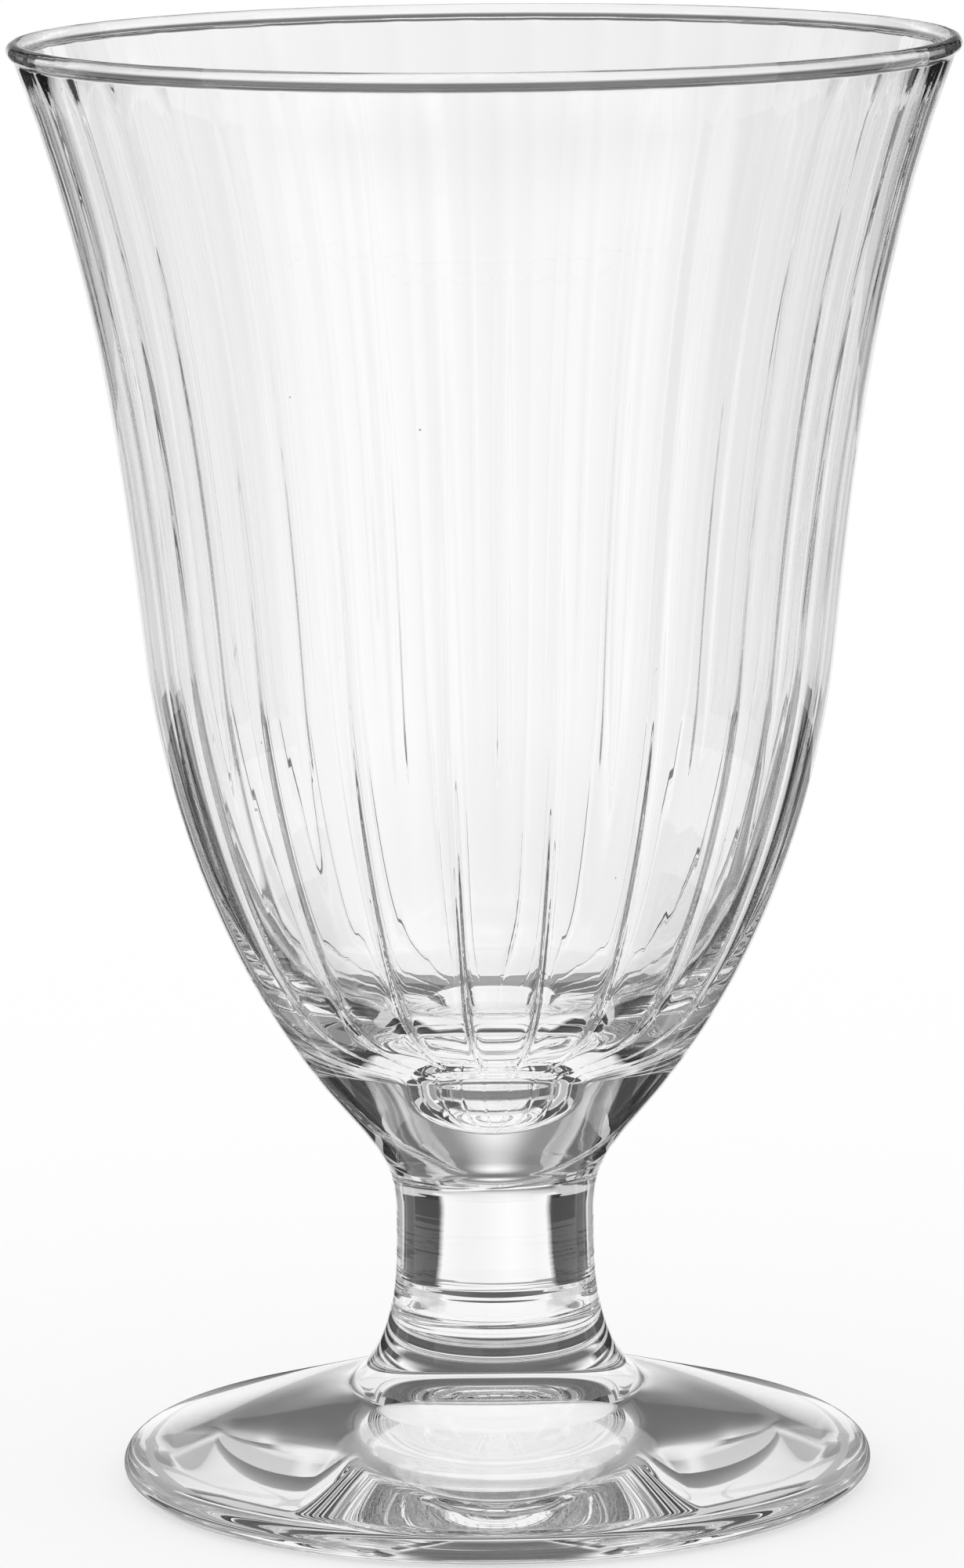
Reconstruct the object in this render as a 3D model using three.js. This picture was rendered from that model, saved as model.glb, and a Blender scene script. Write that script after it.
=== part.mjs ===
// A clear stemmed glass: a flared bowl with optic ribs inside, a short solid stem and a domed foot.
// The three gathers of glass are fused at two flat joints. Millimetres, +Z up, table at z = 0.
import * as THREE from 'three';

// Heights, stacked from the table upwards.
const footHeight = 17.8;
const stemLength = 14.2;
const bowlHeight = 114.5;

// The two joints: diameter, and how far the glass leans out from the vertical there, in degrees.
const footJointDiameter = 21.2;
const footJointLean = -12.5;
const bowlJointDiameter = 21.6;
const bowlJointLean = 22;

// Bowl. A rise is measured from the joint with the stem.
const rimDiameter = 95;
const rimLean = 20.6;
const rimWall = 1.3;
const beadThickness = 1.7;
const bellyRise = 53;
const bellyDiameter = 69.3;
const bellyLean = 6.6;
const bellyWall = 1.9;
const shoulderRise = 6;
const shoulderDiameter = 30.1;
const shoulderLean = 41.5;
const floorCornerRise = 19.5;
const floorCornerDiameter = 39;
const floorCornerLean = 50;
const floorRise = 15;
const floorSlope = 10;
const wellDiameter = 12;
const wellDepth = 6.1;
const wellLipRadius = 1.3;

// Optic ribs on the inside of the bowl: long ones from the well to the rim, and between them as many short
// ones that hang from the rim and end in a round tip. Towards the rim both soften into shallow flutes.
const ribCount = 20;
const ribWidth = 1.6;
const longRibHeight = 0.32;
const longRibFadeRise = 28;
const longRibFadeLength = 22;
const ribRunIn = 14;
const shortRibHeight = 0.08;
const shortRibTipRise = 46;
const fluteHeight = 0.16;

// Stem.
const waistRise = 9.2;
const waistDiameter = 20.1;

// Foot.
const footDiameter = 76.2;
const footEdgeThickness = 3.5;
const footSlope = 17;
const flareHeight = 9.6;
const flareDiameter = 33;
const restingRingWidth = 3.5;
const hollowHeight = 8.2;
const hollowSlope = 4;
const hollowInnerSlope = 15;
const bellHeight = 3.8;
const bellDiameter = 24;
const bellSlope = 32;

// How long each wall keeps the lean of its low and of its high end, as shares of its length.
const neckPulls = [0.31, 0.31];
const basePulls = [0.43, 0.19];
const rimFlarePulls = [0.16, 0.43];
const lowWallPulls = [0.2, 0.3];
const floorPulls = [0.4, 0.3];
const belowWaistPulls = [0.27, 0.33];
const aboveWaistPulls = [0.4, 0.3];
const footFlarePulls = [0.33, 0.49];
const footTopPulls = [0.33, 0.33];
const hollowPulls = [0.33, 0.33];
const bellPulls = [0.45, 0.4];

// How many straight steps stand for each round stretch of a section, and for a full turn.
const neckSteps = 2;
const baseSteps = 7;
const rimFlareSteps = 5;
const beadSteps = 6;
const lowWallSteps = 6;
const floorSteps = 4;
const lipSteps = 2;
const wellSteps = 4;
const waistSteps = 5;
const footFlareSteps = 6;
const footTopSteps = 4;
const footEdgeSteps = 6;
const hollowSteps = 4;
const bellSteps = 4;
const stepsBetweenRibs = 3;
const ribCrowding = 0.7;
const stemSegments = 60;
const footSegments = 72;

const footJointZ = footHeight;
const bowlJointZ = footJointZ + stemLength;
const rimZ = bowlJointZ + bowlHeight;
const radians = THREE.MathUtils.degToRad;

// A unit step along a wall that leans out from the vertical by so many degrees, in (radius, height).
function leaning(degrees) {
  const angle = radians(degrees);
  return new THREE.Vector2(Math.sin(angle), Math.cos(angle));
}

// A smooth wall from one point up to another, which keeps each end's lean as long as that end's pull says.
function wall(low, lowLean, high, highLean, [lowPull, highPull]) {
  const span = low.distanceTo(high);
  const lowHandle = low.clone().addScaledVector(leaning(lowLean), lowPull * span);
  const highHandle = high.clone().addScaledVector(leaning(highLean), -highPull * span);
  return new THREE.CubicBezierCurve(low, lowHandle, highHandle, high);
}

function arc(centre, radiusX, radiusY, startDegrees, endDegrees) {
  const clockwise = endDegrees < startDegrees;
  return new THREE.EllipseCurve(
    centre.x, centre.y, radiusX, radiusY, radians(startDegrees), radians(endDegrees), clockwise);
}

// The points of a curve in its own or in the reverse order, without the first one.
function along(curve, steps) {
  return curve.getPoints(steps).slice(1);
}

function backAlong(curve, steps) {
  return curve.getPoints(steps).reverse().slice(1);
}

// Turns a section, whose ends lie on the axis, into a solid that stands on +Z.
function revolve(section, segments) {
  const solid = new THREE.LatheGeometry(section, segments);
  solid.rotateX(Math.PI / 2);
  return solid;
}

function glassPiece(name, geometry) {
  const clearGlass = new THREE.MeshStandardMaterial({ color: 0xf1f4f3, roughness: 0.03, metalness: 0 });
  const piece = new THREE.Mesh(geometry, clearGlass);
  piece.name = name;
  return piece;
}

// Bowl: the bead sits on the middle of the wall's thickness, and the wall runs into it from below.
const beadRadius = beadThickness / 2;
const beadCentre = new THREE.Vector2(rimDiameter / 2 - beadRadius, rimZ - beadRadius);
const wallHalfAngle = THREE.MathUtils.radToDeg(Math.asin(rimWall / beadThickness));
const downTheWall = 270 - rimLean;
const bead = arc(
  beadCentre, beadRadius, beadRadius, downTheWall + wallHalfAngle - 360, downTheWall - wallHalfAngle);
const rimOutside = bead.getPoint(0);
const rimInside = bead.getPoint(1);

const bellyZ = bowlJointZ + bellyRise;
const bellyOutside = new THREE.Vector2(bellyDiameter / 2, bellyZ);
const bellyInside = new THREE.Vector2(bellyDiameter / 2 - bellyWall, bellyZ);
const shoulder = new THREE.Vector2(shoulderDiameter / 2, bowlJointZ + shoulderRise);
const bowlJointEdge = new THREE.Vector2(bowlJointDiameter / 2, bowlJointZ);

const floorZ = bowlJointZ + floorRise;
const wellRadius = wellDiameter / 2;
const wellShoulderZ = floorZ - wellLipRadius;
const well = arc(new THREE.Vector2(0, wellShoulderZ), wellRadius, wellDepth - wellLipRadius, 270, 360);
const wellLip = arc(
  new THREE.Vector2(wellRadius + wellLipRadius, wellShoulderZ),
  wellLipRadius, wellLipRadius, 180, 90 + floorSlope);
const floorEdge = wellLip.getPoint(1);

const floorCorner = new THREE.Vector2(floorCornerDiameter / 2, bowlJointZ + floorCornerRise);
const floorCurve = wall(floorEdge, 90 - floorSlope, floorCorner, floorCornerLean, floorPulls);
const insideBase = wall(floorCorner, floorCornerLean, bellyInside, bellyLean, lowWallPulls);
const insideFlare = wall(bellyInside, bellyLean, rimInside, rimLean, rimFlarePulls);
const outsideFlare = wall(bellyOutside, bellyLean, rimOutside, rimLean, rimFlarePulls);
const outsideBase = wall(shoulder, shoulderLean, bellyOutside, bellyLean, basePulls);
const outsideNeck = wall(bowlJointEdge, bowlJointLean, shoulder, shoulderLean, neckPulls);

// The outside of the bowl, from the middle of the joint with the stem up and over the bead.
function outsideOfBowl() {
  return [
    new THREE.Vector2(0, bowlJointZ),
    bowlJointEdge,
    ...along(outsideNeck, neckSteps),
    ...along(outsideBase, baseSteps),
    ...along(outsideFlare, rimFlareSteps),
    ...along(bead, beadSteps),
  ];
}

// The inside of the bowl, from the bead down to the middle of the well.
function insideOfBowl() {
  return [
    ...backAlong(insideFlare, rimFlareSteps),
    ...backAlong(insideBase, lowWallSteps),
    ...backAlong(floorCurve, floorSteps),
    ...backAlong(wellLip, lipSteps),
    ...backAlong(well, wellSteps),
  ];
}

// How far a rib stands in from the wall at a given radius and height. A long one starts at the well's lip
// and is tallest low in the bowl. A short one is there only above its tip. Both end as a flute at the rim.
function ribCrest(radius, height, isLong) {
  const runIn = THREE.MathUtils.smoothstep(radius - floorEdge.x, 0, ribRunIn);
  const aboveFade = Math.max(height - bowlJointZ - longRibFadeRise, 0);
  const fade = Math.exp(-aboveFade / longRibFadeLength);
  const flute = fluteHeight * (1 - fade);
  const tipZ = bowlJointZ + shortRibTipRise;
  const short = shortRibHeight * THREE.MathUtils.smoothstep(height, tipZ, tipZ + ribWidth);
  return runIn * (flute + (isLong ? longRibHeight * fade : short));
}

// Unit step from the inner wall into the bowl, square to the section at one of its points.
function intoTheBowl(section, index) {
  const before = section[index - 1];
  const after = section[index + 1];
  const run = after.clone().sub(before).normalize();
  return new THREE.Vector2(run.y, -run.x);
}

// Long and short ribs take turns round the bowl, a long one first.
const ribPitch = 2 * Math.PI / (2 * ribCount);
const bowlSegments = 2 * ribCount * stepsBetweenRibs;

// Crowds the turned section's copies towards the ribs, then lifts the inner wall into the ribs.
function raiseRibs(solid, section, insideStart) {
  const position = solid.getAttribute('position');
  for (let vertex = 0; vertex < position.count; vertex += 1) {
    const index = vertex % section.length;
    const turn = Math.floor(vertex / section.length) / bowlSegments * 2 * Math.PI;
    const angle = turn - ribCrowding / (2 * ribCount) * Math.sin(2 * ribCount * turn);
    const place = section[index].clone();
    if (index >= insideStart && index < section.length - 1) {
      const rib = Math.round(angle / ribPitch);
      const offCrest = place.x * (angle - ribPitch * rib);
      const swell = Math.exp(-Math.pow(2 * offCrest / ribWidth, 2));
      const lift = swell * ribCrest(place.x, place.y, rib % 2 === 0);
      place.addScaledVector(intoTheBowl(section, index), lift);
    }
    position.setXYZ(vertex, place.x * Math.cos(angle), place.x * Math.sin(angle), place.y);
  }
}

function makeBowl() {
  const outside = outsideOfBowl();
  const section = [...outside, ...insideOfBowl()];
  const solid = revolve(section, bowlSegments);
  raiseRibs(solid, section, outside.length);
  return glassPiece('bowl', solid);
}

// Stem: a solid leg, drawn in at its waist, between the two joints.
const footJointEdge = new THREE.Vector2(footJointDiameter / 2, footJointZ);

function makeStem() {
  const waist = new THREE.Vector2(waistDiameter / 2, footJointZ + waistRise);
  const belowWaist = wall(footJointEdge, footJointLean, waist, 0, belowWaistPulls);
  const aboveWaist = wall(waist, 0, bowlJointEdge, bowlJointLean, aboveWaistPulls);
  const section = [
    new THREE.Vector2(0, footJointZ),
    footJointEdge,
    ...along(belowWaist, waistSteps),
    ...along(aboveWaist, waistSteps),
    new THREE.Vector2(0, bowlJointZ),
  ];
  return glassPiece('stem', revolve(section, stemSegments));
}

// Foot: flares out of the stem into a domed disc with a rounded edge. Underneath, a bell-shaped hollow
// leaves a flat ring to stand on.
function makeFoot() {
  const edgeRadius = footEdgeThickness / 2;
  const edgeCentre = new THREE.Vector2(footDiameter / 2 - edgeRadius, edgeRadius);
  const edge = arc(edgeCentre, edgeRadius, edgeRadius, -90, 90 - footSlope);
  const flareBase = new THREE.Vector2(flareDiameter / 2, flareHeight);
  const slopeLean = footSlope - 90;
  const flare = wall(flareBase, slopeLean, footJointEdge, footJointLean, footFlarePulls);
  const domedTop = wall(edge.getPoint(1), slopeLean, flareBase, slopeLean, footTopPulls);
  const hollowEdge = new THREE.Vector2(edgeCentre.x - restingRingWidth, 0);
  const hollowTop = new THREE.Vector2(0, hollowHeight);
  const bellEdge = new THREE.Vector2(bellDiameter / 2, bellHeight);
  const hollow = wall(hollowEdge, hollowSlope - 90, bellEdge, hollowInnerSlope - 90, hollowPulls);
  const bell = wall(bellEdge, bellSlope - 90, hollowTop, -90, bellPulls);
  const section = [
    hollowTop,
    ...backAlong(bell, bellSteps),
    ...backAlong(hollow, hollowSteps),
    edge.getPoint(0),
    ...along(edge, footEdgeSteps),
    ...along(domedTop, footTopSteps),
    ...along(flare, footFlareSteps),
    new THREE.Vector2(0, footJointZ),
  ];
  return glassPiece('foot', revolve(section, footSegments));
}

const stemmedGlass = new THREE.Group();
stemmedGlass.name = 'stemmed_glass';
stemmedGlass.add(makeBowl(), makeStem(), makeFoot());

export default stemmedGlass;
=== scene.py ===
# %% [markdown]
# # A stemmed glass with optic ribs
# This goblet is three gathers of clear soda-lime glass, fused while hot: a bowl with a beaded rim and ribs
# drawn up its inner wall, a short solid stem, and a pressed foot with a hollow under it. Clear glass has no
# colour of its own to paint, so everything the eye sees is shape: each wall bends the studio behind it. That is
# why this lesson spends its effort on true wall sections and on what stands round the glass.

# %% Load the frame
import math

import bmesh
import bpy
from mathutils import Matrix, Vector
from mathutils.geometry import interpolate_bezier


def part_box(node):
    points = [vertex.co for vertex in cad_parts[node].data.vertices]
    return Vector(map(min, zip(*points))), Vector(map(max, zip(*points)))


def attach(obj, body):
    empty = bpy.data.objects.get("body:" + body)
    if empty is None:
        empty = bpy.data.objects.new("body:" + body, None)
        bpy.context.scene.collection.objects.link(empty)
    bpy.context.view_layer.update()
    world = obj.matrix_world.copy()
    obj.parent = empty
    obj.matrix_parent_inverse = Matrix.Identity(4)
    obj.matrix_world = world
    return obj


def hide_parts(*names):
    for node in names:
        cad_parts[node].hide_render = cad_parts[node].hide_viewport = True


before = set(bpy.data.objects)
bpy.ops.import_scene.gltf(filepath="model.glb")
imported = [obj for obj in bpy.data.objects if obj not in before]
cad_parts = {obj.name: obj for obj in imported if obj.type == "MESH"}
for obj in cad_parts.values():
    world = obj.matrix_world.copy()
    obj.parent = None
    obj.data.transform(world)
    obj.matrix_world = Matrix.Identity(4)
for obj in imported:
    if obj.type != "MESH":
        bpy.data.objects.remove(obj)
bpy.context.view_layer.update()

MM = 0.001

# %% [markdown]
# ## Heights and joints from the frame
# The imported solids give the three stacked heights, the rim, the foot and the two joints. The rest of a section,
# such as the belly or the waist, is a dimension of its own, and is named beside the piece that needs it. All
# sections are drawn in (radius, height), with the glass's axis on Z.

# %% Heights and joints
bowl_low, bowl_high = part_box("bowl")
foot_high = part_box("foot")[1]
RIM_Z = bowl_high.z
BOWL_JOINT_Z = bowl_low.z
FOOT_JOINT_Z = foot_high.z
RIM_RADIUS = bowl_high.x
FOOT_RADIUS = foot_high.x

BOWL_JOINT_RADIUS = 10.8 * MM
BOWL_JOINT_LEAN = 22
FOOT_JOINT_RADIUS = 10.6 * MM
FOOT_JOINT_LEAN = -12.5
print("joints at", round(FOOT_JOINT_Z / MM, 2), "and", round(BOWL_JOINT_Z / MM, 2), "mm")
print("rim", round(RIM_RADIUS / MM, 2), "mm from the axis and", round(RIM_Z / MM, 2), "mm high")

# %% [markdown]
# ## Drawing a section
# A glassmaker's wall has no corners: it leaves one point at some lean and arrives at the next at another. A
# Bezier stretch says exactly that, with one handle at each end, so a whole wall needs a handful of points. Each
# handle's length is a share of the stretch: a long handle keeps that end's lean for longer.

# %% Section helpers
def at(radius, height):
    """A point of a section."""
    return Vector((radius, 0, height))


def leaning(degrees):
    """A unit step up a wall that leans out from the vertical by so many degrees."""
    angle = math.radians(degrees)
    return at(math.sin(angle), math.cos(angle))


def wall(low, low_lean, high, high_lean, pulls, steps):
    """Points of a smooth wall from low to high, without the first one."""
    span = (high - low).length
    low_handle = low + leaning(low_lean) * span * pulls[0]
    high_handle = high - leaning(high_lean) * span * pulls[1]
    return interpolate_bezier(low, low_handle, high_handle, high, steps + 1)[1:]


def arc(centre, radius_across, radius_up, start, end, steps):
    """Points of an elliptic arc, its angles in degrees from the radius outwards, without the first one."""
    turns = [math.radians(start + (end - start) * step / steps) for step in range(1, steps + 1)]
    return [centre + at(radius_across * math.cos(turn), radius_up * math.sin(turn)) for turn in turns]


def back_along(start, points):
    """The same stretch walked the other way, again without its first point."""
    return [*reversed(points[:-1]), start]


halfway = arc(at(0, 0), 1, 1, 0, 90, 2)[0]
print("half way along a quarter circle:", round(halfway.x, 3), "out and", round(halfway.z, 3), "up")

# %% [markdown]
# ## Turning a section into a piece
# A lathe shape could be drawn with a Screw modifier, but a bmesh spin leaves a plain mesh that the next steps can
# push about. A fine full turn is slow to spin in one go, so each piece spins one slice, shapes it, and then turns
# copies of that slice round the axis with a second spin. Merging the doubles closes the seams and both poles, and
# only after that are the normals turned outwards.

# %% Spin helper
MERGE_DISTANCE = 0.0005 * MM


def turn_section(section, slices, slice_steps, inward=(), shape=None):
    """A closed bmesh: one slice of the turned section, shaped if asked, copied round the axis.

    inward holds a vector for each point of the section, which shape can read on every copy of that point. The layer
    named rib is for shape to fill, and stays on the mesh as an attribute.
    """
    mesh = bmesh.new()
    layer = mesh.verts.layers.float_vector.new("inward")
    rib = mesh.verts.layers.float.new("rib")
    corners = [mesh.verts.new(point) for point in section]
    for corner, step in zip(corners, inward):
        corner[layer] = step
    edges = [mesh.edges.new(pair) for pair in zip(corners, corners[1:])]
    slice_angle = math.tau / slices
    bmesh.ops.spin(mesh, geom=corners + edges, cent=(0, 0, 0), axis=(0, 0, 1),
                   angle=slice_angle, steps=slice_steps)
    if shape:
        shape(mesh, layer, rib)
    mesh.verts.layers.float_vector.remove(layer)
    bmesh.ops.spin(mesh, geom=[*mesh.verts, *mesh.edges, *mesh.faces], cent=(0, 0, 0), axis=(0, 0, 1),
                   angle=math.tau - slice_angle, steps=slices - 1, use_duplicate=True)
    bmesh.ops.remove_doubles(mesh, verts=mesh.verts, dist=MERGE_DISTANCE)
    bmesh.ops.recalc_face_normals(mesh, faces=mesh.faces)
    return mesh


print("points closer than", MERGE_DISTANCE / MM, "mm become one")

# %% [markdown]
# ### From mesh to piece
# A bmesh is only a workshop: it becomes a piece when it is written to mesh data, gets its materials and is linked to
# the scene. The object stays at the origin, so a pattern on Object coordinates is in the glass's own millimetres. The
# flat faces of a joint lie inside the finished glass and get a second material, so one helper finds them by
# their height and their direction.

# %% Finished piece and joint faces
JOINT_SLOT = 1
FLAT = 0.999
NEAR = 0.01 * MM


def finish_piece(name, mesh, materials):
    """Turns a bmesh into a smooth-shaded object at the origin."""
    data = bpy.data.meshes.new(name)
    mesh.to_mesh(data)
    mesh.free()
    data.shade_smooth()
    for material in materials:
        data.materials.append(material)
    piece = bpy.data.objects.new(name, data)
    bpy.context.scene.collection.objects.link(piece)
    print(name, "has", len(data.polygons), "faces")
    return piece


def mark_joint(mesh, height):
    """Gives the faces of a fused joint, flat at that height, the second material."""
    level = [face for face in mesh.faces if abs(face.calc_center_median().z - height) < NEAR]
    joint = [face for face in level if abs(face.normal.z) > FLAT]
    for face in joint:
        face.material_index = JOINT_SLOT
    return len(joint)


print("a joint's faces get material", JOINT_SLOT)

# %% [markdown]
# ## Nodes and colours
# Every material here is a small tree of nodes. Two helpers keep the trees readable: one turns the hex colours that
# people write into the linear light that Blender computes with, and one adds a node with its settings, its socket
# values and its links in a single call.

# %% Colours and nodes
CLEAR = "#FEFEFE"
WHITE = "#FFFFFF"


def linear(hex_colour):
    """Linear RGBA of a hex colour, by the curve of the sRGB standard."""
    shares = [int(hex_colour[place:place + 2], 16) / 255 for place in (1, 3, 5)]
    return (*[share / 12.92 if share <= 0.04045 else ((share + 0.055) / 1.055) ** 2.4 for share in shares], 1)


def add_node(tree, kind, values=(), links=(), **settings):
    """Adds a node with its settings, socket values and links."""
    node = tree.nodes.new(kind)
    for name, value in settings.items():
        setattr(node, name, value)
    for socket, value in dict(values).items():
        node.inputs[socket].default_value = value
    for socket, source in dict(links).items():
        tree.links.new(source, node.inputs[socket])
    return node


def new_material(name):
    """A material with an empty node tree, and that tree."""
    material = bpy.data.materials.new(name)
    material.use_nodes = True
    material.node_tree.nodes.clear()
    return material, material.node_tree


print("clear glass in linear light:", [round(share, 3) for share in linear(CLEAR)])

# %% [markdown]
# ## Clear soda-lime glass
# Tableware glass is soda-lime-silica with an index of about 1.52. A flame polishes it, so the surface is as smooth
# as a liquid's. What the eye does catch is the slow waviness of a wall that was once soft, and a few seeds, the tiny
# bubbles of the melt. Both could be modelled, but they are far thinner than the wall, so bump nodes on Object
# coordinates carry them and the shape stays with the mesh.

# %% Waves and seeds
GLASS_IOR = 1.52
WAVE_LENGTH = 18 * MM
WAVE_HEIGHT = 0.05 * MM
SEED_SPACING = 9 * MM
SEED_RADIUS = 0.14 * MM


def soda_lime(name):
    """A clear glass's material, its tree, the place on the piece, and the relief of its waves and seeds."""
    material, tree = new_material(name)
    place = add_node(tree, "ShaderNodeTexCoord").outputs["Object"]
    noise = add_node(tree, "ShaderNodeTexNoise", values={"Scale": 1 / WAVE_LENGTH, "Detail": 0.0},
                     links={"Vector": place})
    waves = add_node(tree, "ShaderNodeBump", values={"Distance": WAVE_HEIGHT}, links={"Height": noise.outputs[0]})
    cells = add_node(tree, "ShaderNodeTexVoronoi", values={"Scale": 1 / SEED_SPACING}, links={"Vector": place})
    dome = add_node(tree, "ShaderNodeMapRange", interpolation_type="SMOOTHSTEP",
                    values={"From Max": SEED_RADIUS / SEED_SPACING, "To Min": 1.0, "To Max": 0.0},
                    links={"Value": cells.outputs["Distance"]})
    seeds = add_node(tree, "ShaderNodeBump", values={"Distance": SEED_RADIUS},
                     links={"Height": dome.outputs[0], "Normal": waves.outputs[0]})
    return material, tree, place, seeds.outputs[0]


def fire_polish(tree, relief):
    """Ends a glass's tree: clear, and as smooth as a flame leaves it."""
    glass = add_node(tree, "ShaderNodeBsdfPrincipled", links={"Normal": relief},
                     values={"Base Color": linear(CLEAR), "Roughness": 0.0, "IOR": GLASS_IOR,
                             "Transmission Weight": 1.0})
    add_node(tree, "ShaderNodeOutputMaterial", links={"Surface": glass.outputs[0]})
    return glass


print("waves", round(WAVE_LENGTH / MM), "mm long, seeds about", round(SEED_SPACING / MM), "mm apart")

# %% [markdown]
# ### Seams round the leg
# Where two gathers were fused, a fine groove runs round the outside. The glassmaker's hand set the second gather on
# a little askew, so each groove lies in a plane with a few degrees of tilt. A point's distance from that plane is one
# dot product, so no mesh line has to follow the groove.

# %% Seams
CAMERA_TURN = 222.8
SEAM_WIDTH = 0.22 * MM
SEAM_DEPTH = 0.07 * MM
SEAMS = ((BOWL_JOINT_Z, 4.8), (FOOT_JOINT_Z, 3.0))


def add_seams(tree, place, relief):
    """Adds the two grooves to a relief. Each is highest on the right as the camera sees it."""
    turn = math.radians(CAMERA_TURN)
    for height, tilt in SEAMS:
        lean = math.radians(tilt)
        square = (-math.sin(lean) * math.cos(turn), -math.sin(lean) * math.sin(turn), math.cos(lean))
        level = add_node(tree, "ShaderNodeVectorMath", operation="DOT_PRODUCT", values={1: square}, links={0: place})
        off = add_node(tree, "ShaderNodeMath", operation="SUBTRACT", values={1: height * math.cos(lean)},
                       links={0: level.outputs["Value"]})
        aside = add_node(tree, "ShaderNodeMath", operation="ABSOLUTE", links={0: off.outputs[0]})
        groove = add_node(tree, "ShaderNodeMapRange", interpolation_type="SMOOTHSTEP",
                          values={"From Max": SEAM_WIDTH}, links={"Value": aside.outputs[0]})
        relief = add_node(tree, "ShaderNodeBump", values={"Distance": SEAM_DEPTH},
                          links={"Height": groove.outputs[0], "Normal": relief}).outputs[0]
    return relief


print("seams", round(SEAM_WIDTH * 2 / MM, 2), "mm wide and", round(SEAM_DEPTH / MM, 2), "mm deep")

# %% [markdown]
# ### Blown and fire-polished bowl
# The flame reaches the rim and the outside, but the crests of the ribs low in the bowl touched a cold plunger, which
# leaves them a little rough, so they sparkle. The mesh marks those crests with an attribute, and a fine grain
# shows only there.

# %% Glass of the bowl
GRAIN_SIZE = 0.7 * MM
GRAIN_DEPTH = 0.05 * MM


def blown_glass():
    """Smooth as a liquid, with a grain on the crests that the attribute named rib marks."""
    material, tree, place, relief = soda_lime("clear_glass_blown_and_fire_polished")
    noise = add_node(tree, "ShaderNodeTexNoise", values={"Scale": 1 / GRAIN_SIZE, "Detail": 0.0},
                     links={"Vector": place})
    rib = add_node(tree, "ShaderNodeAttribute", attribute_name="rib")
    grain = add_node(tree, "ShaderNodeMath", operation="MULTIPLY",
                     links={0: noise.outputs[0], 1: rib.outputs["Fac"]})
    crests = add_node(tree, "ShaderNodeBump", values={"Distance": GRAIN_DEPTH},
                      links={"Height": grain.outputs[0], "Normal": relief})
    fire_polish(tree, add_seams(tree, place, crests.outputs[0]))
    return material


BOWL_GLASS = blown_glass()
print("made", BOWL_GLASS.name)

# %% [markdown]
# ### Drawn and tooled stem
# The leg is drawn out of soft glass and turned against a tool, which leaves fine lines round it. A noise that is
# squeezed along Z gives such lines, broken and uneven, where a wave texture would look like a thread.

# %% Glass of the stem
TOOL_LINE = 0.4 * MM
TOOL_LENGTH = 30 * MM
TOOL_DEPTH = 0.015 * MM


def drawn_glass():
    """Smooth, with fine broken lines round the leg."""
    material, tree, place, relief = soda_lime("clear_glass_drawn_and_tooled")
    squeezed = add_node(tree, "ShaderNodeMapping", links={"Vector": place},
                        values={"Scale": (1 / TOOL_LENGTH, 1 / TOOL_LENGTH, 1 / TOOL_LINE)})
    noise = add_node(tree, "ShaderNodeTexNoise", values={"Scale": 1.0, "Detail": 0.0},
                     links={"Vector": squeezed.outputs[0]})
    lines = add_node(tree, "ShaderNodeBump", values={"Distance": TOOL_DEPTH},
                     links={"Height": noise.outputs[0], "Normal": relief})
    fire_polish(tree, add_seams(tree, place, lines.outputs[0]))
    return material


STEM_GLASS = drawn_glass()
print("made", STEM_GLASS.name)

# %% [markdown]
# ### Pressed foot
# The mould leaves the foot smooth. Only the ring that it stands on is scuffed dull by every table it was set down
# on, along a narrow line in the middle of the ring. There the roughness goes up; everywhere else it stays 0.

# %% Glass of the foot
WORN_HEIGHT = 0.04 * MM
WORN_RADIUS = 34.6 * MM
WORN_HALF_WIDTH = 0.4 * MM
WORN_ROUGHNESS = 0.35


def pressed_glass():
    """Smooth from the mould, with a dull line where it stands."""
    material, tree, place, relief = soda_lime("clear_glass_pressed_with_a_worn_ring")
    reach = add_node(tree, "ShaderNodeVectorMath", operation="LENGTH", links={0: place})
    line = add_node(tree, "ShaderNodeMath", operation="COMPARE", values={1: WORN_RADIUS, 2: WORN_HALF_WIDTH},
                    links={0: reach.outputs["Value"]})
    height = add_node(tree, "ShaderNodeSeparateXYZ", links={0: place})
    low = add_node(tree, "ShaderNodeMath", operation="LESS_THAN", values={1: WORN_HEIGHT},
                   links={0: height.outputs["Z"]})
    both = add_node(tree, "ShaderNodeMath", operation="MULTIPLY", links={0: line.outputs[0], 1: low.outputs[0]})
    worn = add_node(tree, "ShaderNodeMath", operation="MULTIPLY", values={1: WORN_ROUGHNESS},
                    links={0: both.outputs[0]})
    glass = fire_polish(tree, add_seams(tree, place, relief))
    tree.links.new(worn.outputs[0], glass.inputs["Roughness"])
    return material


FOOT_GLASS = pressed_glass()
print("made", FOOT_GLASS.name)

# %% [markdown]
# ### Fused joints
# Bowl, stem and foot are closed pieces, so two faces meet inside each joint. On the real glass they melted into one
# and no light turns there. A transparent shader on just those faces says so; glass on them would bend and mirror
# the light twice.

# %% Joint material
def fused_joint():
    """Two faces melted into one, which light passes straight through."""
    material, tree = new_material("fused_joint")
    clear = add_node(tree, "ShaderNodeBsdfTransparent", values={"Color": linear(WHITE)})
    add_node(tree, "ShaderNodeOutputMaterial", links={"Surface": clear.outputs[0]})
    return material


JOINT = fused_joint()
print("made", JOINT.name)

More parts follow.
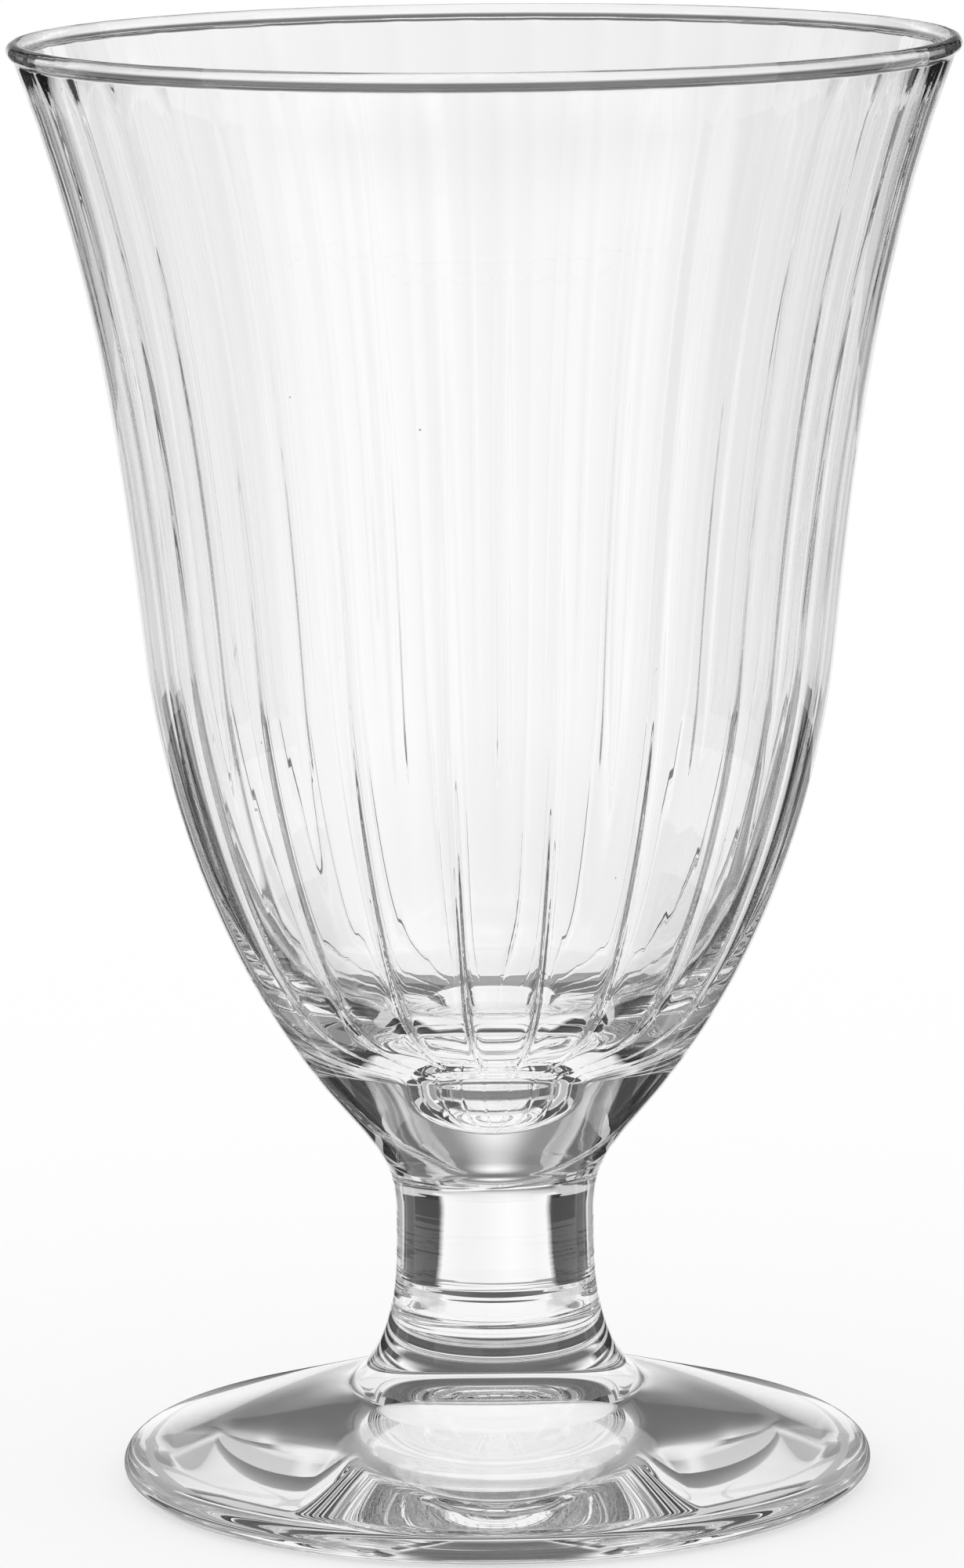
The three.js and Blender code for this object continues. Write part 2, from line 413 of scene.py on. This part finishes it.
# %% [markdown]
# ## Bowl
# The bowl is blown, so its outside is one smooth sweep, and its inside was pressed over a ribbed plunger, which
# leaves a sloping floor with a small round well in its middle. The bead is the rim after the flame melted it round.
# A cylinder could be pulled into this shape by hand, but glass shows every uneven wall as a wobble in what is seen
# through it. So both walls are drawn as one section, from the joint up to the bead and down again to the well.

# %% Sizes of the bowl
RIM_LEAN = 20.6
RIM_WALL = 0.95 * MM
BEAD_RADIUS = 0.85 * MM
BEAD_FILLET = 0.5 * MM
BELLY_Z = BOWL_JOINT_Z + 53 * MM
BELLY_RADIUS = 34.65 * MM
BELLY_LEAN = 6.6
BELLY_WALL = 1.9 * MM
SHOULDER = at(15.05 * MM, BOWL_JOINT_Z + 6 * MM)
SHOULDER_LEAN = 41.5
FLOOR_CORNER = at(19.5 * MM, BOWL_JOINT_Z + 19.5 * MM)
FLOOR_CORNER_LEAN = 50
FLOOR_Z = BOWL_JOINT_Z + 15 * MM
FLOOR_SLOPE = 10
WELL_RADIUS = 6 * MM
WELL_DEPTH = 6.1 * MM
WELL_LIP_RADIUS = 1.3 * MM
NECK_PULLS = (0.31, 0.31)
BASE_PULLS = (0.43, 0.19)
RIM_FLARE_PULLS = (0.16, 0.43)
FLOOR_PULLS = (0.4, 0.3)
LOW_WALL_PULLS = (0.2, 0.3)
print("the belly is", round(BELLY_RADIUS * 2 / MM, 1), "mm across, with a wall of", round(BELLY_WALL / MM, 1), "mm")

# %% [markdown]
# ### Outside of the bowl
# Three smooth stretches lead from the joint over the shoulder and the belly to the rim. The bead is a circle that the
# wall runs into, so the angle at which the wall meets it follows from the wall's thickness.

# %% Outside of the bowl
NECK_STEPS = 5
BASE_STEPS = 18
RIM_FLARE_STEPS = 13
BEAD_STEPS = 14

bead_centre = at(RIM_RADIUS - BEAD_RADIUS, RIM_Z - BEAD_RADIUS)
wall_half_angle = math.degrees(math.asin(RIM_WALL / 2 / BEAD_RADIUS))
down_the_wall = 270 - RIM_LEAN
bead_start = down_the_wall + wall_half_angle - 360
rim_outside = arc(bead_centre, BEAD_RADIUS, BEAD_RADIUS, bead_start, bead_start, 1)[0]
bead = arc(bead_centre, BEAD_RADIUS, BEAD_RADIUS, bead_start, down_the_wall - wall_half_angle, BEAD_STEPS)
rim_inside = bead[-1]
fillet = leaning(RIM_LEAN) * BEAD_FILLET

bowl_joint_edge = at(BOWL_JOINT_RADIUS, BOWL_JOINT_Z)
belly_outside = at(BELLY_RADIUS, BELLY_Z)
outside = [
    at(0, BOWL_JOINT_Z),
    bowl_joint_edge,
    *wall(bowl_joint_edge, BOWL_JOINT_LEAN, SHOULDER, SHOULDER_LEAN, NECK_PULLS, NECK_STEPS),
    *wall(SHOULDER, SHOULDER_LEAN, belly_outside, BELLY_LEAN, BASE_PULLS, BASE_STEPS),
    *wall(belly_outside, BELLY_LEAN, rim_outside - fillet, RIM_LEAN, RIM_FLARE_PULLS, RIM_FLARE_STEPS),
    rim_outside,
    *bead,
]
print("outside of the bowl:", len(outside), "points")

# %% [markdown]
# ### Inside of the bowl
# The inner wall is drawn upwards, from the well over its lip and the sloping floor to the rim, because each stretch
# starts where the one below it ends. The section goes round the glass the other way, so the stretches are then
# walked back.

# %% Inside of the bowl
WELL_STEPS = 10
LIP_STEPS = 6
FLOOR_STEPS = 16
LOW_WALL_STEPS = 24
INNER_FLARE_STEPS = 16

belly_inside = at(BELLY_RADIUS - BELLY_WALL, BELLY_Z)
well_shoulder_z = FLOOR_Z - WELL_LIP_RADIUS
lip_centre = at(WELL_RADIUS + WELL_LIP_RADIUS, well_shoulder_z)
well_middle = at(0, well_shoulder_z - WELL_DEPTH + WELL_LIP_RADIUS)
well = arc(at(0, well_shoulder_z), WELL_RADIUS, WELL_DEPTH - WELL_LIP_RADIUS, 270, 360, WELL_STEPS)
well_lip = arc(lip_centre, WELL_LIP_RADIUS, WELL_LIP_RADIUS, 180, 90 + FLOOR_SLOPE, LIP_STEPS)
floor_edge = well_lip[-1]
floor_curve = wall(floor_edge, 90 - FLOOR_SLOPE, FLOOR_CORNER, FLOOR_CORNER_LEAN, FLOOR_PULLS, FLOOR_STEPS)
low_wall = wall(FLOOR_CORNER, FLOOR_CORNER_LEAN, belly_inside, BELLY_LEAN, LOW_WALL_PULLS, LOW_WALL_STEPS)
inner_flare = wall(belly_inside, BELLY_LEAN, rim_inside - fillet, RIM_LEAN, RIM_FLARE_PULLS, INNER_FLARE_STEPS)
inside = [
    rim_inside - fillet,
    *back_along(belly_inside, inner_flare),
    *back_along(FLOOR_CORNER, low_wall),
    *back_along(floor_edge, floor_curve),
    *back_along(well[-1], well_lip),
    *back_along(well_middle, well),
]
print("inside of the bowl:", len(inside), "points")

# %% [markdown]
# ### Optic ribs
# The plunger leaves twenty long ribs that run from the well's lip to the rim, and between them twenty short ones
# that end in a round tip half way down. A long rib is a low swell with a sharp crest on it; a short one is a low
# flat band. They could be separate strips, but then light would see a border between strip and wall. Here the
# spun wall itself is lifted. The slice runs from one long rib to the next, and its columns are crowded where a
# rib bends the wall, so that the crest stays sharp with few faces.

# %% Rib heights
RIB_COUNT = 20
RIB_PITCH = math.tau / RIB_COUNT
CREST_HEIGHT = 0.20 * MM
CREST_WIDTH = 0.20 * MM
CREST_WIDTH_AT_RIM = 0.60 * MM
SWELL_HEIGHT = 0.12 * MM
SWELL_WIDTH = 0.65 * MM
RIB_FADE_START = 60 * MM
RIB_FADE_LENGTH = 22 * MM
RIB_RUN_IN = 14 * MM
SHORT_RIB_HEIGHT = 0.11 * MM
SHORT_RIB_WIDTH = 1.25 * MM
SHORT_RIB_EDGE = 0.24 * MM
SHORT_RIB_EDGE_AT_RIM = 1.2 * MM
SHORT_RIB_END = 78 * MM
FLUTE_DEPTH = 0.16 * MM


def smooth_rise(value):
    """0 below 0, 1 above 1 and a smooth S between."""
    share = min(max(value, 0), 1)
    return share * share * (3 - 2 * share)


def rib_lift(point, off_long, off_short):
    """How far the wall is lifted at a point of the section, so far aside from a long and a short rib."""
    run_in = smooth_rise((point.x - floor_edge.x) / RIB_RUN_IN)
    sharp = math.exp(-max(point.z - RIB_FADE_START, 0) / RIB_FADE_LENGTH)
    soft = 1 - sharp
    crest_width = CREST_WIDTH * sharp + CREST_WIDTH_AT_RIM * soft
    crest = CREST_HEIGHT * sharp * math.exp(-(off_long / crest_width) ** 2)
    swell = SWELL_HEIGHT * sharp * math.exp(-(off_long / SWELL_WIDTH) ** 2)
    climb = smooth_rise((point.z - SHORT_RIB_END) / (RIM_Z - SHORT_RIB_END))
    edge_width = SHORT_RIB_EDGE + (SHORT_RIB_EDGE_AT_RIM - SHORT_RIB_EDGE) * climb
    below_tip = max(SHORT_RIB_END + SHORT_RIB_WIDTH / 2 - point.z, 0)
    from_core = math.hypot(off_short, below_tip)
    band = SHORT_RIB_HEIGHT * (1 - climb) * smooth_rise((SHORT_RIB_WIDTH / 2 - from_core) / edge_width + 0.5)
    flute = FLUTE_DEPTH * soft * (1 + math.cos(math.tau * off_long / (off_long + off_short))) / 2
    return run_in * (crest + swell + flute) + band


print("lift on a long rib at the belly:", round(rib_lift(belly_inside, 0, 1) / MM, 3), "mm")

# %% [markdown]
# ### Columns of a slice
# A crest is a fifth of a millimetre wide, and even columns as fine as that would fill the whole bowl with faces. So
# each column is given by its distance from the nearest rib, and they lie close together only where the wall bends.
# Near the well the distances shrink with the radius, or columns would cross.

# %% Rib columns
LONG_RIB_COLUMNS = [offset * MM for offset in (0, 0.08, 0.16, 0.24, 0.33, 0.45, 0.62, 0.88, 1.2, 1.6)]
SHORT_RIB_COLUMNS = [offset * MM for offset in (1.3, 0.95, 0.77, 0.7, 0.63, 0.56, 0.48, 0.3, 0.15, 0)]
COLUMN_RADIUS = 20 * MM
HALF_STEPS = len(LONG_RIB_COLUMNS) + len(SHORT_RIB_COLUMNS) - 1


def column_angle(column, radius):
    """The angle of a column of the slice: its distance from its rib is the same from the foot of the wall up."""
    half = min(column, 2 * HALF_STEPS - column)
    reach = max(radius, COLUMN_RADIUS)
    if half < len(LONG_RIB_COLUMNS):
        angle = LONG_RIB_COLUMNS[half] / reach
    else:
        angle = RIB_PITCH / 2 - SHORT_RIB_COLUMNS[half - len(LONG_RIB_COLUMNS)] / reach
    return angle if column <= HALF_STEPS else RIB_PITCH - angle


def into_the_bowl(before, after):
    """A unit step out of the inner wall, square to the section."""
    run = (after - before).normalized()
    return at(run.z, -run.x)


print("a slice of the bowl has", 2 * HALF_STEPS, "steps")

# %% [markdown]
# ### Shaping the bowl
# The slice is spun with even columns. Then each of its points is turned to its own column and lifted out of the wall
# along a vector that the section gave it. A displacement modifier could lift the wall too, but it can't say where a
# column stands. The same loop marks the low crests with the attribute that the bowl's glass reads.

# %% Bowl piece
CREST_MARK_WIDTH = 0.5 * MM
CREST_MARK_START = 52 * MM
CREST_MARK_END = 72 * MM


def raise_ribs(mesh, inward, rib):
    """Crowds the slice's columns towards the ribs, lifts the inner wall into them and marks the low crests."""
    for corner in mesh.verts:
        radius = math.hypot(corner.co.x, corner.co.y)
        turn = math.atan2(corner.co.y, corner.co.x)
        angle = column_angle(round(turn / RIB_PITCH * 2 * HALF_STEPS), radius)
        reach = max(radius, COLUMN_RADIUS)
        off_long = min(angle, RIB_PITCH - angle) * reach
        off_short = RIB_PITCH / 2 * reach - off_long
        place = at(radius, corner.co.z)
        crest = math.exp(-(off_long / CREST_MARK_WIDTH) ** 2)
        low = 1 - smooth_rise((place.z - CREST_MARK_START) / (CREST_MARK_END - CREST_MARK_START))
        corner[rib] = corner[inward].length * crest * low
        place += corner[inward] * rib_lift(place, off_long, off_short)
        corner.co = Matrix.Rotation(angle, 3, "Z") @ place


bowl_section = outside + inside
wall_steps = [into_the_bowl(before, after) for before, after in zip([outside[-1], *inside], inside[1:])]
bowl_inward = [Vector()] * len(outside) + wall_steps + [Vector()]
bowl_mesh = turn_section(bowl_section, RIB_COUNT, 2 * HALF_STEPS, bowl_inward, raise_ribs)
print("joint faces under the bowl:", mark_joint(bowl_mesh, BOWL_JOINT_Z))
bowl = finish_piece("bowl_glass", bowl_mesh, [BOWL_GLASS, JOINT])

# %% [markdown]
# ## Stem
# The stem is a solid leg, drawn in at its waist. Solid glass this thick is a strong lens, so its outline decides
# where the bright and the dark bands stand. Two stretches that meet upright at the waist are enough, and a fine
# spin keeps the lens free of facets.

# %% Stem piece
WAIST = at(10.05 * MM, FOOT_JOINT_Z + 9.2 * MM)
BELOW_WAIST_PULLS = (0.27, 0.33)
ABOVE_WAIST_PULLS = (0.4, 0.3)
LEG_STEPS = 16
SLICES = 8
STEM_SLICE_STEPS = 24

foot_joint_edge = at(FOOT_JOINT_RADIUS, FOOT_JOINT_Z)
stem_section = [
    at(0, FOOT_JOINT_Z),
    foot_joint_edge,
    *wall(foot_joint_edge, FOOT_JOINT_LEAN, WAIST, 0, BELOW_WAIST_PULLS, LEG_STEPS),
    *wall(WAIST, 0, bowl_joint_edge, BOWL_JOINT_LEAN, ABOVE_WAIST_PULLS, LEG_STEPS),
    at(0, BOWL_JOINT_Z),
]
stem_mesh = turn_section(stem_section, SLICES, STEM_SLICE_STEPS)
print("joint faces on the stem:", mark_joint(stem_mesh, FOOT_JOINT_Z) + mark_joint(stem_mesh, BOWL_JOINT_Z))
stem = finish_piece("stem_glass", stem_mesh, [STEM_GLASS, JOINT])

# %% [markdown]
# ## Foot
# The foot is pressed: it flares out of the stem into a sloping disc with a rounded edge. Underneath it is hollow, so
# it stands on a narrow ring and never rocks: a low cone that rises into a small bell under the stem. The hollow could
# be cut with a Boolean, but that leaves uneven faces, and glass shows them. Here the underside is part of the turned
# section, so its faces run evenly from the bell to the edge.

# %% Sizes of the foot
FOOT_EDGE_RADIUS = 1.75 * MM
FOOT_SLOPE = 17
FLARE_BASE = at(16.5 * MM, 9.6 * MM)
RESTING_RING_WIDTH = 3.5 * MM
HOLLOW_TOP = at(0, 8.2 * MM)
HOLLOW_SLOPE = 4
HOLLOW_INNER_SLOPE = 15
BELL_EDGE = at(12 * MM, 3.8 * MM)
BELL_SLOPE = 32
EVEN_PULLS = (0.33, 0.33)
BELL_PULLS = (0.45, 0.4)
FLARE_PULLS = (0.33, 0.49)
print("the hollow rises", round(HOLLOW_TOP.z / MM, 1), "mm under the stem")

# %% Foot piece
FOOT_STEPS = 24
FLARE_STEPS = 28
FOOT_SLICE_STEPS = 30

edge_centre = at(FOOT_RADIUS - FOOT_EDGE_RADIUS, FOOT_EDGE_RADIUS)
edge = arc(edge_centre, FOOT_EDGE_RADIUS, FOOT_EDGE_RADIUS, -90, 90 - FOOT_SLOPE, FOOT_STEPS)
ring_edge = at(edge_centre.x, 0)
hollow_edge = at(edge_centre.x - RESTING_RING_WIDTH, 0)
hollow = wall(hollow_edge, HOLLOW_SLOPE - 90, BELL_EDGE, HOLLOW_INNER_SLOPE - 90, EVEN_PULLS, FOOT_STEPS)
bell = wall(BELL_EDGE, BELL_SLOPE - 90, HOLLOW_TOP, -90, BELL_PULLS, FOOT_STEPS)
foot_section = [
    HOLLOW_TOP,
    *back_along(BELL_EDGE, bell),
    *back_along(hollow_edge, hollow),
    ring_edge,
    *edge,
    *wall(edge[-1], FOOT_SLOPE - 90, FLARE_BASE, FOOT_SLOPE - 90, EVEN_PULLS, FOOT_STEPS),
    *wall(FLARE_BASE, FOOT_SLOPE - 90, foot_joint_edge, FOOT_JOINT_LEAN, FLARE_PULLS, FLARE_STEPS),
    at(0, FOOT_JOINT_Z),
]
foot_mesh = turn_section(foot_section, SLICES, FOOT_SLICE_STEPS)
print("joint faces on the foot:", mark_joint(foot_mesh, FOOT_JOINT_Z))
foot = finish_piece("foot_glass", foot_mesh, [FOOT_GLASS, JOINT])

# %% [markdown]
# ## Pieces on their body
# Nothing on a stemmed glass moves, so all three pieces ride on the one body. Each takes the place of the plain solid
# with the same name.

# %% Pieces on their body
for piece, node in ((bowl, "bowl"), (stem, "stem"), (foot, "foot")):
    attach(piece, "root")
    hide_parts(node)
print("three pieces ride on the one body")

# %% [markdown]
# ## Camera
# The photograph looks slightly down from about arm's length with a long lens, which keeps the ellipses of the rim
# and the foot flat. A Track To constraint could aim the camera, but it would hide the small roll of a camera that
# wasn't level. As matrices, the turn round the glass, the place, the pitch and the roll each stay a number that can
# be changed alone.

# %% Camera
CAMERA_DISTANCE = 788.4 * MM
CAMERA_HEIGHT = 204 * MM
CAMERA_PITCH = 9.56
CAMERA_ROLL = -0.55
CAMERA_ASIDE = -0.91 * MM
LENS = 182.2

camera_data = bpy.data.cameras.new("camera")
camera_data.lens = LENS
camera = bpy.data.objects.new("camera", camera_data)
bpy.context.scene.collection.objects.link(camera)
round_the_glass = Matrix.Rotation(math.radians(CAMERA_TURN), 4, "Z")
place = Matrix.Translation((CAMERA_ASIDE, -CAMERA_DISTANCE, CAMERA_HEIGHT))
tilt = Matrix.Rotation(math.radians(90 - CAMERA_PITCH), 4, "X")
roll = Matrix.Rotation(math.radians(CAMERA_ROLL), 4, "Z")
camera.matrix_world = round_the_glass @ place @ tilt @ roll
bpy.context.scene.camera = camera
print("camera", round(CAMERA_DISTANCE / MM), "mm from the glass with a", LENS, "mm lens")

# %% [markdown]
# ## Studio
# Glass is photographed in front of a bright field: the room is white, and black cloth beside the glass draws its
# edges. Lamps would put hot spots on it, so a white world alone gives the light, at a plain strength of 1. The floor
# is white paper. Rays that come through the glass see it plain white, by Light Path, and the camera sees that
# white in part. The rest of what it sees is lit paper, which keeps the glass's soft shadow.

# %% World
world = bpy.data.worlds.new("studio")
bpy.context.scene.world = world
world.use_nodes = True
world.node_tree.nodes.clear()
background = add_node(world.node_tree, "ShaderNodeBackground", values={"Color": linear(WHITE), "Strength": 1.0})
add_node(world.node_tree, "ShaderNodeOutputWorld", links={"Surface": background.outputs["Background"]})

print("the world is", WHITE)

# %% Floor
FLOOR_SIZE = 6.0
FLOOR_GAP = 0.1 * MM
FLOOR_GLOW = 0.6


def floor_paper():
    """White paper that shows plain white through the glass and keeps a soft shadow for the camera."""
    material, tree = new_material("floor_paper")
    paper = add_node(tree, "ShaderNodeBsdfDiffuse", values={"Color": linear(WHITE)})
    glow = add_node(tree, "ShaderNodeEmission", values={"Color": linear(WHITE), "Strength": 1.0})
    rays = add_node(tree, "ShaderNodeLightPath")
    through = add_node(tree, "ShaderNodeMath", operation="MAXIMUM",
                       links={0: rays.outputs["Is Glossy Ray"], 1: rays.outputs["Is Transmission Ray"]})
    direct = add_node(tree, "ShaderNodeMath", operation="MULTIPLY", values={1: FLOOR_GLOW},
                      links={0: rays.outputs["Is Camera Ray"]})
    share = add_node(tree, "ShaderNodeMath", operation="MAXIMUM",
                     links={0: through.outputs[0], 1: direct.outputs[0]})
    both = add_node(tree, "ShaderNodeMixShader",
                    links={0: share.outputs[0], 1: paper.outputs["BSDF"], 2: glow.outputs["Emission"]})
    add_node(tree, "ShaderNodeOutputMaterial", links={"Surface": both.outputs["Shader"]})
    return material


floor_mesh = bmesh.new()
bmesh.ops.create_grid(floor_mesh, x_segments=1, y_segments=1, size=FLOOR_SIZE,
                      matrix=Matrix.Translation((0, 0, -FLOOR_GAP)))
floor = finish_piece("floor", floor_mesh, [floor_paper()])

# %% [markdown]
# ### Black cloth
# A photographer hangs black cloth and card round a glass, just out of the picture. Every dark line in the glass is
# such a cloth, bent by a wall. Card stops all the light and draws lines like ink; thin cloth, a scrim, lets a
# share of it through and draws them grey. So a scrim here is a sheet with a density, spun from its own section, and an
# attribute thins it out towards its edges. The camera doesn't see it and it casts no shadow: only the glass
# shows it.

# %% Black scrim
def black_scrim(density):
    """Thin black cloth that stops a share of the light, less where its cover fades out at an edge."""
    material, tree = new_material(f"black_scrim_{round(density * 100)}")
    cover = add_node(tree, "ShaderNodeAttribute", attribute_name="cover")
    threads = add_node(tree, "ShaderNodeMath", operation="MULTIPLY", values={1: density},
                       links={0: cover.outputs["Fac"]})
    gaps = add_node(tree, "ShaderNodeBsdfTransparent")
    black = add_node(tree, "ShaderNodeEmission", values={"Strength": 0.0})
    cloth = add_node(tree, "ShaderNodeMixShader",
                     links={0: threads.outputs[0], 1: gaps.outputs[0], 2: black.outputs[0]})
    add_node(tree, "ShaderNodeOutputMaterial", links={"Surface": cloth.outputs[0]})
    return material


print("a scrim's cover comes from its own attribute")

# %% Hanging a scrim
SIDE_FADE = 3
TURN_STEP = 1.5
FULL_TURN = 360


def hang_scrim(name, density, start, end, profile, low_fade=0, high_fade=0, side_fade=SIDE_FADE):
    """A scrim bent round the glass, from one angle to another off the line straight behind it.

    profile is the cloth's section, in (distance, height); the fades are shares of its length.
    """
    mesh = bmesh.new()
    cover = mesh.verts.layers.float.new("cover")
    corners = [mesh.verts.new((0, *point)) for point in profile]
    for place, corner in enumerate(corners):
        share = place / (len(corners) - 1)
        low = smooth_rise(share / low_fade) if low_fade else 1
        high = smooth_rise((1 - share) / high_fade) if high_fade else 1
        corner[cover] = low * high
    edges = [mesh.edges.new(pair) for pair in zip(corners, corners[1:])]
    bmesh.ops.spin(mesh, geom=corners + edges, cent=(0, 0, 0), axis=(0, 0, 1),
                   angle=math.radians(start - end), steps=round((end - start) / TURN_STEP))
    if end - start < FULL_TURN:
        for corner in mesh.verts:
            turn = math.degrees(math.atan2(corner.co.x, corner.co.y)) % FULL_TURN
            corner[cover] *= smooth_rise(turn / side_fade) * smooth_rise((end - start - turn) / side_fade)
    mesh.transform(round_the_glass @ Matrix.Rotation(math.radians(-start), 4, "Z"))
    scrim = finish_piece(name, mesh, [black_scrim(density)])
    scrim.visible_camera = False
    scrim.visible_shadow = False
    scrim.visible_diffuse = False


print("scrims fade over", SIDE_FADE, "degrees at their sides")

# %% Sections of cloth
CLOTH_STEPS = 24


def straight(near, far):
    """A straight section from one (distance, height) to another."""
    return [at(*near).lerp(at(*far), step / CLOTH_STEPS).xz for step in range(CLOTH_STEPS + 1)]


def vault(low, high, reach):
    """A section of a round tent, between two elevations in degrees."""
    rises = [math.radians(low + (high - low) * step / CLOTH_STEPS) for step in range(CLOTH_STEPS + 1)]
    return [(reach * math.cos(rise), reach * math.sin(rise)) for rise in rises]


print("a cloth's section has", CLOTH_STEPS + 1, "points")

# %% [markdown]
# ### Flags and cards
# Flags lie on the table to both sides behind the glass, and cards stand at their far ends. The stem is a lens that
# squeezes all of this into its own width, so the flags become the two dark bands at its sides and the white gap between
# them its bright middle. The high cards draw the edges of the bowl. The middle tier is thin cloth, because the
# foot's slope looks there and has to stay light.

# %% Flags and cards
FLAG_Z = 0.3 * MM
FLAG_START = 42 * MM
OUTER_FLAG_END = 110 * MM
CARD_DISTANCE = 200 * MM
CARD_TIERS = (0, 30 * MM, 75 * MM, 300 * MM)

inner_flag = straight((FLAG_START, FLAG_Z), (CARD_DISTANCE, FLAG_Z))
outer_flag = straight((FLAG_START, FLAG_Z), (OUTER_FLAG_END, FLAG_Z))
low_card, middle_card, high_card = [straight((CARD_DISTANCE, low), (CARD_DISTANCE, high))
                                    for low, high in zip(CARD_TIERS, CARD_TIERS[1:])]
whole_card = straight((CARD_DISTANCE, CARD_TIERS[0]), (CARD_DISTANCE, CARD_TIERS[-1]))
# Each row: name, density, start and end in degrees off the line straight behind the glass, section.
PAIRS = (
    ("flag_inner", 0.97, 20, 57, inner_flag),
    ("flag_gap", 0.5, 57, 75, inner_flag),
    ("flag_outer", 0.9, 75, 115, outer_flag),
    ("low_card", 0.97, 20, 57, low_card),
    ("middle_card", 0.35, 24, 57, middle_card),
    ("high_card", 0.95, 27, 57, high_card),
    ("card_gap", 0.5, 57, 75, whole_card),
    ("card_outer", 0.7, 75, 115, whole_card),
)
for name, density, start, end, cloth in PAIRS:
    hang_scrim(f"scrim_{name}_right", density, start, end, cloth)
    hang_scrim(f"scrim_{name}_left", density, -end, -start, cloth)
print("hung", len(PAIRS), "pairs of flags and cards")

# %% [markdown]
# ### Ring, runner and tent
# A ring of cloth close round the foot darkens the bottom of the bowl and the foot's edge, most of all behind. A
# runner of very thin cloth behind the glass, and the veil that it turns up into, make the faint stripes in the upper
# bowl: each rib bends the line of sight across the runner's soft side. The tent is the dark part of the room. Only the
# steep looks through the bead, the flare of the stem and the bowl's floor end there. A last scrim hangs behind the
# camera and dims what the front of the glass mirrors.

# %% Ring round the foot
RING_Z = -0.05 * MM
RING_START = 38.2 * MM
RING_END = 52 * MM
RING_DENSITY = 0.75
BACK_RING_Z = -0.06 * MM
BACK_RING_END = 60 * MM
BACK_RING_DENSITY = 0.68
BACK_RING_TURN = 60
BACK_RING_FADE = 20

ring = straight((RING_START, RING_Z), (RING_END, RING_Z))
back_ring = straight((RING_START, BACK_RING_Z), (BACK_RING_END, BACK_RING_Z))
hang_scrim("scrim_ring", RING_DENSITY, 0, FULL_TURN, ring)
hang_scrim("scrim_back_ring", BACK_RING_DENSITY, -BACK_RING_TURN, BACK_RING_TURN, back_ring, side_fade=BACK_RING_FADE)
print("the ring ends", round(RING_END / MM), "mm from the axis, and behind the glass", round(BACK_RING_END / MM))

# %% Runner and veil
RUNNER_Z = -0.08 * MM
RUNNER_START = 60 * MM
VEIL_REACH = 1400 * MM
VEIL_TOP = 50
VEIL_DENSITY = 0.09
# Each side: name, start, end and fade in degrees.
VEIL_SIDES = (("right", -8, 26, 16), ("left", -26, -4, 14))

runner = straight((RUNNER_START, RUNNER_Z), (VEIL_REACH, RUNNER_Z))
veil = vault(0, VEIL_TOP, VEIL_REACH)
for name, cloth in (("runner", runner), ("veil", veil)):
    for side, start, end, fade in VEIL_SIDES:
        hang_scrim(f"scrim_{name}_{side}", VEIL_DENSITY, start, end, cloth, side_fade=fade)
print("the veil stands", round(VEIL_REACH / MM), "mm behind the glass")

# %% Tent
TENT_REACH = 1500 * MM
TENT_DENSITY = 0.85
TENT_HIGH = 62
BACK_TENT_LOW = 2
BACK_TENT_TURN = 30
ROUND_TENT_LOW = 25
TENT_FADES = {"low_fade": 0.2, "high_fade": 0.25, "side_fade": 6}
TENT_TOP_LOW = 58
TENT_TOP_DENSITY = 0.8
TENT_TOP_FADES = {"low_fade": 0.25, "high_fade": 0.5}

back_tent = vault(BACK_TENT_LOW, TENT_HIGH, TENT_REACH)
round_tent = vault(ROUND_TENT_LOW, TENT_HIGH, TENT_REACH)
tent_top = vault(TENT_TOP_LOW, 90, TENT_REACH)
hang_scrim("scrim_back_tent", TENT_DENSITY, -BACK_TENT_TURN, BACK_TENT_TURN, back_tent, **TENT_FADES)
hang_scrim("scrim_round_tent", TENT_DENSITY, BACK_TENT_TURN, FULL_TURN - BACK_TENT_TURN, round_tent, **TENT_FADES)
hang_scrim("scrim_tent_top", TENT_TOP_DENSITY, 0, FULL_TURN, tent_top, **TENT_TOP_FADES)
print("the tent's dark band goes up to", TENT_HIGH, "degrees")

# %% Front scrim
FRONT_DENSITY = 0.35
FRONT_START = 165
FRONT_END = 195
FRONT_TOP = 60
FRONT_FADE = 0.4

hang_scrim("scrim_front", FRONT_DENSITY, FRONT_START, FRONT_END, vault(0, FRONT_TOP, VEIL_REACH), low_fade=FRONT_FADE)
print("the front scrim dims what the glass mirrors from", FRONT_END - FRONT_START, "degrees round the camera")

# %% [markdown]
# ## Light through many walls
# A line of sight through the bowl crosses four surfaces, and in the foot it is mirrored again and again. With a
# low limit such rays end early and leave black specks, so the limits go up; that costs time and nothing else. The
# Standard view shows each colour as it is written.

# %% Colours as written
GLASS_BOUNCES = 40
CLOTH_LAYERS = 64

scene = bpy.context.scene
scene.view_settings.view_transform = "Standard"
scene.cycles.max_bounces = GLASS_BOUNCES
scene.cycles.transmission_bounces = GLASS_BOUNCES
scene.cycles.glossy_bounces = GLASS_BOUNCES
scene.cycles.transparent_max_bounces = CLOTH_LAYERS
print("light may turn", GLASS_BOUNCES, "times")
